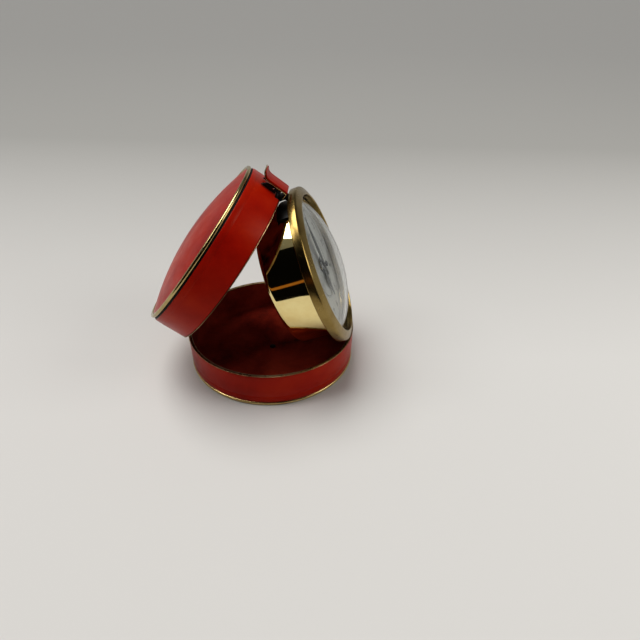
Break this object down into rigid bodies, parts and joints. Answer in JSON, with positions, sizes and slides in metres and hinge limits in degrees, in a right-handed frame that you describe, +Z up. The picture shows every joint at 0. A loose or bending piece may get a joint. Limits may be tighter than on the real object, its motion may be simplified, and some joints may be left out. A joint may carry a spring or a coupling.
{
  "type": "folding travel alarm clock",
  "caption": "Round folding travel alarm clock: leather-covered base tray and domed lid hinged together, with a brass wind-up clock hinged inside the lid.",
  "frame": {"origin": "centre of the base's resting face", "axes": "+Z up, +X from the case hinge towards the side the dial faces, +Y completes the right-handed set along the case hinge"},
  "size_m": [0.0826, 0.0706, 0.0826],
  "materials": {
    "red_leather": "smooth red leather with a soft polish",
    "lining": "dark red napped lining",
    "brass": "polished, lightly worn",
    "aged_brass": "dull, unpolished",
    "pressed_brass": "pressed sheet, hidden under the leather",
    "black_steel": "blackened steel",
    "steel": "plain steel",
    "dial": "matt silvery white",
    "crystal": "clear domed crystal",
    "hand_paint": "dark painted hands"
  },
  "bodies": {
    "base": {"base_foot_ring": "brass", "base_bottom_panel": "red_leather", "base_shell": "pressed_brass", "base_leather_band": "red_leather", "base_lining": "lining", "base_rim_trim": "brass", "case_hinge_base_leaf": "brass", "case_hinge_pin": "brass"},
    "lid": {"case_hinge_lid_leaf": "brass", "lid_rim_trim": "brass", "lid_leather_band": "red_leather", "lid_shell": "pressed_brass", "lid_dome_plate": "pressed_brass", "lid_lining": "lining", "lid_dome_ring": "brass", "lid_dome_panel": "red_leather", "latch_bracket": "black_steel", "latch_pin": "steel", "latch_spring": "black_steel", "clock_hinge_bracket": "black_steel", "clock_hinge_pin": "steel"},
    "latch": {"latch_plate": "aged_brass", "latch_leather": "red_leather"},
    "clock": {"bezel": "brass", "crystal": "crystal", "dial": "dial", "cup": "brass", "front_plate": "aged_brass", "back_plate": "aged_brass", "clock_hinge_arm": "black_steel", "clock_hinge_saddle": "black_steel", "hairspring": "steel"},
    "rate_lever": {"regulator": "steel"},
    "going_barrel": {"time_barrel": "brass", "time_mainspring": "steel"},
    "time_winder": {"time_winding_arbor": "steel", "time_key": "brass"},
    "bell_barrel": {"alarm_barrel": "brass", "alarm_mainspring": "steel"},
    "alarm_winder": {"alarm_winding_arbor": "steel", "alarm_key": "brass"},
    "centre": {"centre_wheel": "brass"},
    "third": {"third_wheel": "brass"},
    "escape": {"escape_wheel": "brass"},
    "pallet": {"pallet_lever": "steel"},
    "balance": {"balance_wheel": "brass"},
    "minutes": {"centre_arbor": "steel", "minute_hand": "hand_paint", "time_set_knob": "brass"},
    "minute_gear": {"minute_wheel": "brass"},
    "hours": {"hour_wheel": "brass", "hour_hand": "hand_paint"},
    "alarm_time": {"alarm_wheel": "brass", "alarm_hand": "steel"},
    "alarm_setting": {"alarm_set_arbor": "steel", "alarm_set_knob": "brass"},
    "bell_escape": {"alarm_escape_wheel": "brass"},
    "hammer": {"alarm_hammer": "steel"},
    "stop": {"alarm_stop_button": "brass"}
  },
  "joints": [
    {"name": "lid_hinge", "type": "hinge", "parent": "base", "child": "lid", "pos_m": [-0.037, 0, 0.015], "axis": [0, -1, 0], "range_deg": [0, 57]},
    {"name": "latch_hinge", "type": "hinge", "parent": "lid", "child": "latch", "pos_m": [0.00353, 0, 0.07635], "axis": [0, -1, 0], "range_deg": [0, 10], "stiffness_Nm_per_rad": 0.004},
    {"name": "clock_hinge", "type": "hinge", "parent": "lid", "child": "clock", "pos_m": [0.00405, 0, 0.07171], "axis": [0, 1, 0], "range_deg": [0, 58.53]},
    {"name": "rate_lever_hinge", "type": "hinge", "parent": "clock", "child": "rate_lever", "pos_m": [0.00669, 0.0154, 0.0455], "axis": [0.9289, 0, 0.3703], "range_deg": [-45, 45]},
    {"name": "going_barrel_spin", "type": "hinge", "parent": "clock", "child": "going_barrel", "pos_m": [0.016, -0.00947, 0.03835], "axis": [0.9289, 0, 0.3703], "continuous": true},
    {"name": "time_winding", "type": "hinge", "parent": "clock", "child": "time_winder", "pos_m": [0.00579, -0.00947, 0.03427], "axis": [0.9289, 0, 0.3703], "continuous": true},
    {"name": "bell_barrel_spin", "type": "hinge", "parent": "clock", "child": "bell_barrel", "pos_m": [0.01743, 0.0104, 0.03477], "axis": [0.9289, 0, 0.3703], "continuous": true},
    {"name": "alarm_winding", "type": "hinge", "parent": "clock", "child": "alarm_winder", "pos_m": [0.00721, 0.0104, 0.03069], "axis": [0.9289, 0, 0.3703], "continuous": true},
    {"name": "centre_spin", "type": "hinge", "parent": "clock", "child": "centre", "pos_m": [0.0138, 0, 0.04118], "axis": [0.9289, 0, 0.3703], "continuous": true},
    {"name": "third_spin", "type": "hinge", "parent": "clock", "child": "third", "pos_m": [0.0106, 0, 0.0492], "axis": [0.9289, 0, 0.3703], "continuous": true},
    {"name": "escape_spin", "type": "hinge", "parent": "clock", "child": "escape", "pos_m": [0.0106, 0.00672, 0.0492], "axis": [0.9289, 0, 0.3703], "continuous": true},
    {"name": "pallet_rock", "type": "hinge", "parent": "clock", "child": "pallet", "pos_m": [0.01153, 0.01092, 0.04958], "axis": [0.9289, 0, 0.3703], "range_deg": [-3, 3]},
    {"name": "balance_swing", "type": "hinge", "parent": "clock", "child": "balance", "pos_m": [0.00902, 0.0154, 0.04643], "axis": [0.9289, 0, 0.3703], "range_deg": [-120, 120]},
    {"name": "minutes_spin", "type": "hinge", "parent": "clock", "child": "minutes", "pos_m": [0.0138, 0, 0.04118], "axis": [-0.9289, 0, -0.3703], "continuous": true},
    {"name": "minute_gear_spin", "type": "hinge", "parent": "clock", "child": "minute_gear", "pos_m": [0.01844, -0.006, 0.04303], "axis": [-0.9289, 0, -0.3703], "continuous": true},
    {"name": "hours_spin", "type": "hinge", "parent": "clock", "child": "hours", "pos_m": [0.01937, 0, 0.0434], "axis": [-0.9289, 0, -0.3703], "continuous": true},
    {"name": "alarm_time_spin", "type": "hinge", "parent": "clock", "child": "alarm_time", "pos_m": [0.01956, 0, 0.04347], "axis": [-0.9289, 0, -0.3703], "continuous": true},
    {"name": "alarm_setting_spin", "type": "hinge", "parent": "clock", "child": "alarm_setting", "pos_m": [0.01093, 0.00752, 0.04298], "axis": [-0.9289, 0, -0.3703], "continuous": true},
    {"name": "bell_escape_spin", "type": "hinge", "parent": "clock", "child": "bell_escape", "pos_m": [0.01447, 0.01502, 0.0422], "axis": [0.9289, 0, 0.3703], "continuous": true},
    {"name": "hammer_swing", "type": "hinge", "parent": "clock", "child": "hammer", "pos_m": [0.01547, 0.019, 0.037], "axis": [-0.9289, 0, -0.3703], "range_deg": [-4, 12]},
    {"name": "stop_press", "type": "slide", "parent": "clock", "child": "stop", "axis": [0.9289, 0, 0.3703], "range_m": [0, 0.0012], "stiffness_N_per_m": 150}
  ],
  "couplings": [
    {"joint": "centre_spin", "follows": "third_spin", "ratio": -0.2},
    {"joint": "going_barrel_spin", "follows": "third_spin", "ratio": 0.04},
    {"joint": "escape_spin", "follows": "third_spin", "ratio": -6},
    {"joint": "minute_gear_spin", "follows": "minutes_spin", "ratio": -0.33333},
    {"joint": "hours_spin", "follows": "minutes_spin", "ratio": 0.083333},
    {"joint": "alarm_time_spin", "follows": "alarm_setting_spin", "ratio": -0.33333},
    {"joint": "bell_escape_spin", "follows": "bell_barrel_spin", "ratio": -4.5}
  ]
}
